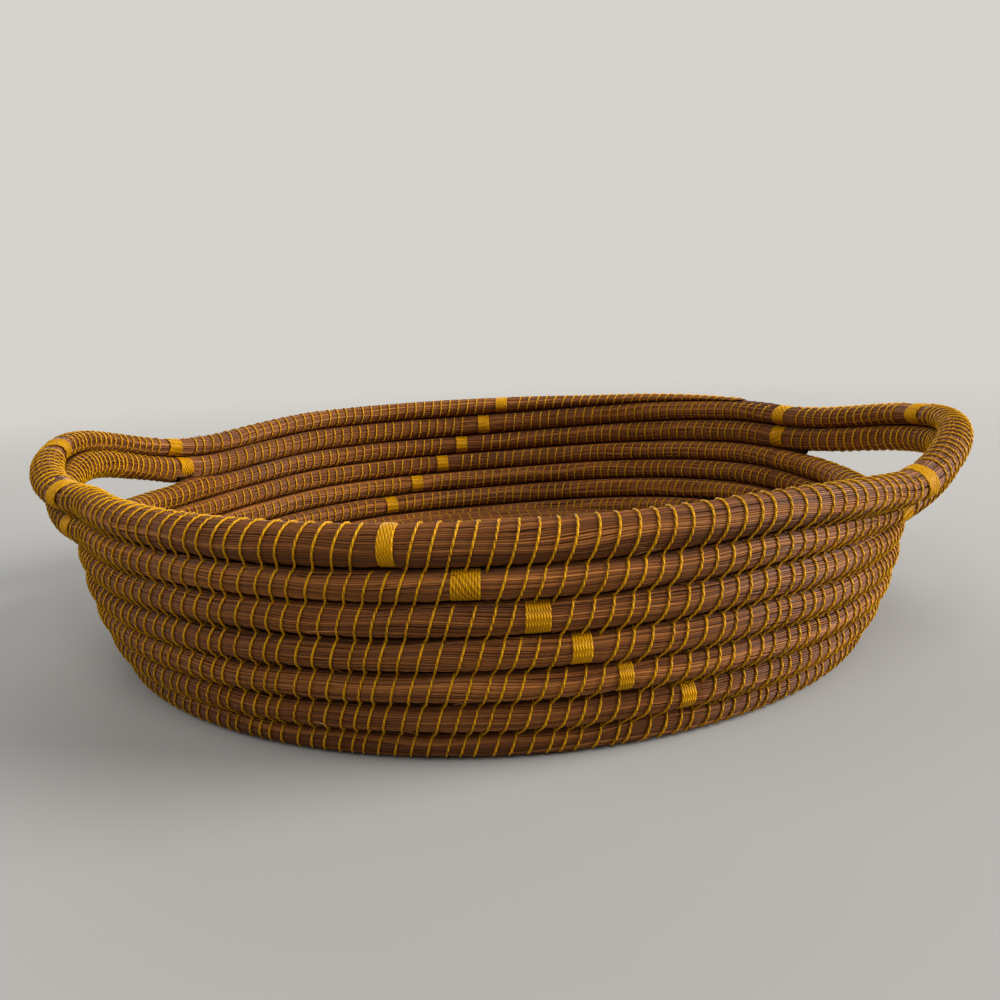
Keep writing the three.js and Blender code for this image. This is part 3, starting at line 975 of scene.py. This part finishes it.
def bandList():
    found = []
    for k, (angle, width) in enumerate(zip(bandForm["frontAngles"], bandForm["frontWidths"])):
        found.append(bandAt(f"front_band_{k + 1}", k + 1, angle, width))
    for k, angle in enumerate(bandForm["backAngles"]):
        found.append(bandAt(f"back_band_{k + 1}", k + 1, angle, bandForm["backWidth"]))
    for side, ends in bandForm["handleEnds"].items():
        for level, places in ends.items():
            for place, angle in places.items():
                node = f"{side}_handle_band_{place}_{level}"
                found.append(bandAt(node, levels[level], angle, bandForm["handleWidth"]))
    return found


bands = bandList()


# the lower rim row and the wall end under bands of the rows that they climb to
def climbBand(row, level):
    angle = bandForm["handleEnds"]["right"][level]["back"] - 360
    return {"row": row, "angle": angle, "width": bandForm["handleWidth"]}


endNecks = [climbBand(form["lowerRimRow"], "upper"), climbBand(form["topWallRow"], "lower")]


def makeBand(band):
    perDegree = math.radians(rowRadius(band["row"]))
    turns = max(round(band["width"] / bandForm["wrapPitch"]), bandForm["leastTurns"])
    half = (band["width"] - 2 * bandForm["threadRadius"]) / 2 / perDegree
    places = np.linspace(band["angle"] - half, band["angle"] + half, turns)
    piece = threadAlong(
        band["node"] + "_wraps", lambda angle: rowSections(band["row"], angle), places,
        bandForm["wrapPitch"] / 2 / perDegree, bandForm["points"], bandForm["threadRadius"],
        bandForm["proudOut"], bandForm["proudUp"])
    return placed(piece, "waxed_thread", band["node"])


# under the row above, the needles are painted darker between one stitch and the next: painted shade of the
# groove, strongest by the contact with that row
def grooveShade(row, turn, angles, dents):
    if row == form["upperRimRow"]:
        return 0.0
    off = turnOff(turn, contactTurn(row, row - 1))
    near = np.exp(-(off / needles["grooveHalfTurn"]) ** 2)
    clear = 0.0
    if row == form["topWallRow"]:
        clear = np.clip(handleLift(angles) / stitching["openLift"], 0, 1)
    return needles["grooveShade"] * near[:, None] * ((1 - dents) * (1 - clear))[None]


# rows: needles between two angles, dented by their stitches and necked under the bands
def makeRow(name, row, start, end, plan, node):
    perDegree = math.radians(rowRadius(row))
    onRow = [band for band in bands + endNecks if band["row"] == row]
    stitches = stitchAngles[row]
    halfway = (stitches[1:] + stitches[:-1]) / 2
    angles = np.concatenate([stitches, halfway])
    dents = np.concatenate([np.ones(len(stitches)), np.zeros(len(halfway))])
    inside = (angles > start + needles["endRoom"]) & (angles < end - needles["endRoom"])
    angles = np.concatenate([[start], angles[inside], [end]])
    dents = np.concatenate([[needles["endDent"]], dents[inside], [needles["endDent"]]])
    order = np.argsort(angles)
    angles, dents = angles[order], dents[order]
    neck = np.zeros_like(angles)
    for band in onRow:
        half = band["width"] / 2 / perDegree
        neck = np.maximum(neck, smooth(needles["neckReach"] - np.abs(angles - band["angle"]) / half))
    dents = dents * (1 - neck)
    along = rowRounds(row, angles) if row >= form["topWallRow"] else angles / 360
    run = along * 2 * math.pi * form["rimRadius"]
    pitch = 2 * math.pi * rowRadius(row) / stitching["perRound"]
    shownPlan = withoutHidden(plan, row)
    piece = needleBundle(name + "_needles", filledRow(row, angles), run, shownPlan, dents, neck,
                         lambda turn: stitchSlide(turn, leanAt(angles)[None], pitch),
                         grooveShade(row, shownPlan["turn"], angles, dents))
    cut = rowSections(row, angles)
    # below each row a sheet of painted shade closes the groove to the next row, or to the last base round
    if row < form["rowCount"]:
        standsClear = (row == form["lowerRimRow"]) & (handleLift(angles) > stitching["clearLift"])
        strip = shadeSheet(name + "_seam", cut, rowSections(row + 1, angles), 1.0 - standsClear, cut["out"], run)
    else:
        lastBaseRound = coilSections(rowRounds(row, angles) - 1)
        strip = shadeSheet(name + "_seam", cut, lastBaseRound, np.ones_like(run), cut["up"], run)
    placed(joined([piece, strip]), "pine_needles", node)
    rowStitches(name + "_stitches", row, start, end, onRow)


wallPlan = needlePlan(needles["wallSeed"], needles["aroundRow"])
for row in range(form["topWallRow"], form["rowCount"] + 1):
    makeRow(f"wall_row_{row}", row, form["climbEnd"] - 360, form["climbEnd"], wallPlan, "wall_coil")
print("wall rows made")


# a rim row's stretches from band to band; its back one ends with the coil's tail or with its own climb
def rimStretches(level):
    left, right = (bandForm["handleEnds"][side][level] for side in ("left", "right"))
    climbedTo = bandForm["handleEnds"]["right"]["upper"]["back"]
    backEnd = form["endTailAngle"] if level == "upper" else climbedTo
    return {
        "front_rim": (left["front"], right["front"]),
        "right_handle": (right["front"], right["back"]),
        "back_rim": (backEnd - 360, left["back"]),
        "left_handle": (left["back"], left["front"]),
    }


for level, row in levels.items():
    rimPlan = needlePlan(needles["rimSeed"] + row, needles["aroundRow"])
    for stretch, (start, end) in rimStretches(level).items():
        makeRow(f"{stretch}_{level}", row, start, end, rimPlan, f"{stretch}_{level}")
for band in bands:
    makeBand(band)
print("rim rows, handles and bands made")


# base: the same coil laid flat, in two lengths; its rounds fill the gaps between them
def baseSections(rounds):
    return filled(coilSections(rounds), 0.0, 0.0, baseGap / 2)


def makeBase():
    start = -form["startTailShare"] * form["startClimbShare"]
    places = [start]
    while places[-1] < baseRounds:
        radius = float(coilBundle(np.array([places[-1]]))[0][0])
        step = needles["baseStep"] / (2 * math.pi * radius)
        places.append(places[-1] + min(step, needles["mostBaseStep"]))
    places = np.array(places[:-1] + [float(baseRounds)])
    run = pathLength(coilPoint(places))
    plan = needlePlan(needles["baseSeed"], needles["aroundBase"])
    plan["size"] = plan["size"] * needles["baseThickness"]
    undented = np.zeros_like(places)
    middle = int(np.searchsorted(run, run[-1] * needles["baseSplit"]))
    for name, part in (("inner", slice(0, middle + 1)), ("outer", slice(middle, None))):
        piece = needleBundle(f"base_{name}_needles", baseSections(places[part]), run[part], plan,
                             undented[part], undented[part], np.zeros_like)
        placed(piece, "pine_needles", "base_coil")
    stitchRun = np.arange(stitching["baseStart"], run[-1], stitching["basePitch"])
    stitchPlaces = np.interp(stitchRun, run, places)
    flush = -stitching["threadRadius"]
    piece = threadAlong("base_stitches", baseSections, stitchPlaces, 0.0, stitching["basePoints"],
                        stitching["threadRadius"], 0.0, flush / 2, stitching["baseSides"],
                        lambda place, turn: -flush / 2 * (np.sin(turn) < 0))
    placed(piece, "waxed_thread")


makeBase()


# knot in the middle of the base: a ring wound with thread through its hole
knot = {
    "ringRadius": 0.0027,
    "halfWidth": 0.0017,
    "halfHeight": 0.0040,
    "turns": 26,
    "points": 12,
    "angleStep": 0.5,
    "ringSegments": 32,
    "ringSides": 12,
}


def knotPoint(angle):
    turn = np.radians(angle)
    height = np.full_like(angle, form["rowHalfHeight"])
    return np.stack([knot["ringRadius"] * np.cos(turn), knot["ringRadius"] * np.sin(turn), height], -1)


def knotSections(angle):
    upright = np.zeros_like(angle)
    halfWidth = np.full_like(angle, knot["halfWidth"])
    halfHeight = np.full_like(angle, knot["halfHeight"])
    return sections(knotPoint, angle, knot["angleStep"], upright, halfWidth, halfHeight)


def makeKnot():
    places = np.linspace(0, 360, knot["turns"])
    wound = threadAlong("base_start_knot_wraps", knotSections, places, 0.0, knot["points"],
                        stitching["threadRadius"], 0.0, 0.0)
    bpy.ops.object.select_all(action="DESELECT")
    bpy.ops.mesh.primitive_torus_add(major_radius=knot["ringRadius"], minor_radius=knot["halfWidth"],
                                     major_segments=knot["ringSegments"],
                                     minor_segments=knot["ringSides"])
    ring = bpy.context.object
    ring.scale.z = knot["halfHeight"] / knot["halfWidth"]
    ring.location.z = form["rowHalfHeight"]
    bpy.ops.object.transform_apply(location=True, rotation=True, scale=True)
    ring.data.materials.append(threadMaterial)
    placed(joined([wound, ring]), "waxed_thread", "base_start_knot")


makeKnot()
print("base and knot made")


# loose tips: short needle ends that stand out of the bundles, most of them close to the grooves
tips = {
    "seed": 29,
    "count": 460,
    "lengths": (0.003, 0.011),
    "endRoom": 5,
    "radius": 0.00024,
    "taper": 0.75,
    "start": -0.0004,
    "stand": 0.0012,
    "standShares": (0.3, 1.0),
    "standPower": 1.5,
    "rings": 6,
    "sides": 4,
    "turns": (-0.95, 0.95, 2.2),
    "turnSpread": 0.25,
    "twist": 0.12,
    "tints": (0.2, 0.95),
    "leastHeight": 0.0004,
}


def makeTips():
    rng = np.random.default_rng(tips["seed"])
    share = np.linspace(0, 1, tips["rings"])
    paths, aways = [], []
    for _ in range(tips["count"]):
        row = int(rng.integers(1, form["rowCount"] + 1))
        angle = rng.uniform(form["climbStart"] - 360, form["climbEnd"] - tips["endRoom"])
        length = rng.uniform(*tips["lengths"]) * rng.choice([-1, 1])
        cut = filledRow(row, angle + share * math.degrees(length / rowRadius(row)))
        turn = np.full(tips["rings"], rng.choice(tips["turns"]) + rng.normal(0, tips["turnSpread"]))
        stand = tips["stand"] * rng.uniform(*tips["standShares"])
        proud = tips["start"] + stand * share ** tips["standPower"]
        path = onSkin(cut, turn + rng.normal(0, tips["twist"]) * share, proud, proud)
        if path[:, 2].min() > tips["leastHeight"]:
            paths.append(path)
            aways.append(awayFromMiddle(cut, turn))
    paths, aways = np.array(paths), np.array(aways)
    radii = np.broadcast_to(tips["radius"] * (1 - tips["taper"] * share), paths.shape[:2])
    tints = np.broadcast_to(rng.uniform(*tips["tints"], (len(paths), 1)), paths.shape[:2])
    run = pathLength(paths)
    piece = strandMesh("loose_tips", paths, aways, radii, tips["sides"], tints, run, needleMaterial)
    placed(piece, "pine_needles")


makeTips()
print("loose tips made")


# floor, light and camera
studio = {
    "floorSize": 12.0,
    "floor": paint(147, 145, 141),
    "floorRoughness": 0.9,
    "background": paint(214, 211, 204),
    "fadeFrom": 0.35,
    "fadeTo": 1.1,
    "ambient": 0.29,
    "lamps": [
        {"name": "window", "place": (2.6, -0.25, 1.2), "size": 1.8, "power": 152.0},
        {"name": "far_window", "place": (-2.6, -0.1, 1.4), "size": 1.8, "power": 22.0},
        {"name": "over_front", "place": (-0.2, -1.6, 2.4), "size": 2.4, "power": 42.0},
        {"name": "behind", "place": (-0.6, 2.6, 1.3), "size": 2.0, "power": 40.0},
    ],
}


# one for rays that reach the background straight from the camera, by reflection or through glass
def seenRays(nodes, links):
    rays = nodes.new("ShaderNodeLightPath").outputs
    straight = addMath(nodes, links, "MAXIMUM", rays["Is Camera Ray"], rays["Is Glossy Ray"])
    return addMath(nodes, links, "MAXIMUM", straight, rays["Is Transmission Ray"])


def addShaderMix(nodes, links, share, first, second, output):
    mixed = nodes.new("ShaderNodeMixShader")
    for place, socket in zip(mixed.inputs, (share, first, second)):
        links.new(socket, place)
    links.new(mixed.outputs["Shader"], output.inputs["Surface"])


def makeFloor():
    bpy.ops.object.select_all(action="DESELECT")
    bpy.ops.mesh.primitive_plane_add(size=studio["floorSize"], location=(0, 0, 0))
    floor = bpy.context.object
    floor.name = "floor"
    material, nodes, links, shader = newMaterial("paleFloor")
    shader.inputs["Base Color"].default_value = studio["floor"]
    shader.inputs["Roughness"].default_value = studio["floorRoughness"]
    # far from the basket the floor fades into the background
    far = nodes.new("ShaderNodeVectorMath")
    far.operation = "LENGTH"
    links.new(addPlace(nodes), far.inputs[0])
    fade = nodes.new("ShaderNodeMapRange")
    fade.interpolation_type = "SMOOTHSTEP"
    fade.inputs["From Min"].default_value = studio["fadeFrom"]
    fade.inputs["From Max"].default_value = studio["fadeTo"]
    links.new(far.outputs["Value"], fade.inputs["Value"])
    share = addMath(nodes, links, "MULTIPLY", fade.outputs["Result"], seenRays(nodes, links))
    distance = nodes.new("ShaderNodeEmission")
    distance.inputs["Color"].default_value = studio["background"]
    addShaderMix(nodes, links, share, shader.outputs["BSDF"], distance.outputs["Emission"],
                 nodes["Material Output"])
    floor.data.materials.append(material)


def makeStudio():
    makeFloor()
    for lamp in studio["lamps"]:
        bpy.ops.object.light_add(type="AREA", location=lamp["place"])
        light = bpy.context.object
        light.name = lamp["name"]
        light.data.shape = "DISK"
        light.data.size = lamp["size"]
        light.data.energy = lamp["power"]
        light.rotation_euler = (-Vector(lamp["place"])).to_track_quat("-Z", "Y").to_euler()
    world = bpy.data.worlds.new("studio")
    bpy.context.scene.world = world
    world.use_nodes = True
    nodes, links = world.node_tree.nodes, world.node_tree.links
    ambient = nodes["Background"]
    ambient.inputs["Color"].default_value = (1, 1, 1, 1)
    ambient.inputs["Strength"].default_value = studio["ambient"]
    shown = nodes.new("ShaderNodeBackground")
    shown.inputs["Color"].default_value = studio["background"]
    addShaderMix(nodes, links, seenRays(nodes, links), ambient.outputs["Background"],
                 shown.outputs["Background"], nodes["World Output"])


makeStudio()

# where the photograph was taken from
viewpoint = {
    "place": (0.0, -0.3811, 0.12232),
    "down": 0.2078,
    "right": 0.0088,
    "roll": -0.0449,
    "focalPixels": 957.84,
    "framePixels": 1000,
    "sensorWidth": 36.0,
    "nearest": 0.01,
}


def makeCamera():
    down, right, roll = viewpoint["down"], viewpoint["right"], viewpoint["roll"]
    flat = math.cos(down)
    forward = Vector((math.sin(right) * flat, math.cos(right) * flat, -math.sin(down)))
    level = Vector((math.cos(right), -math.sin(right), 0))
    upright = level.cross(forward)
    sideways = math.cos(roll) * level + math.sin(roll) * upright
    upright = -math.sin(roll) * level + math.cos(roll) * upright
    turned = Matrix((sideways, upright, -forward)).transposed().to_4x4()
    bpy.ops.object.camera_add()
    camera = bpy.context.object
    camera.matrix_world = Matrix.Translation(viewpoint["place"]) @ turned
    camera.data.sensor_width = viewpoint["sensorWidth"]
    camera.data.lens = viewpoint["focalPixels"] / viewpoint["framePixels"] * camera.data.sensor_width
    camera.data.clip_start = viewpoint["nearest"]
    bpy.context.scene.camera = camera


makeCamera()
bpy.context.scene.view_settings.view_transform = "Standard"
print("studio and camera made")
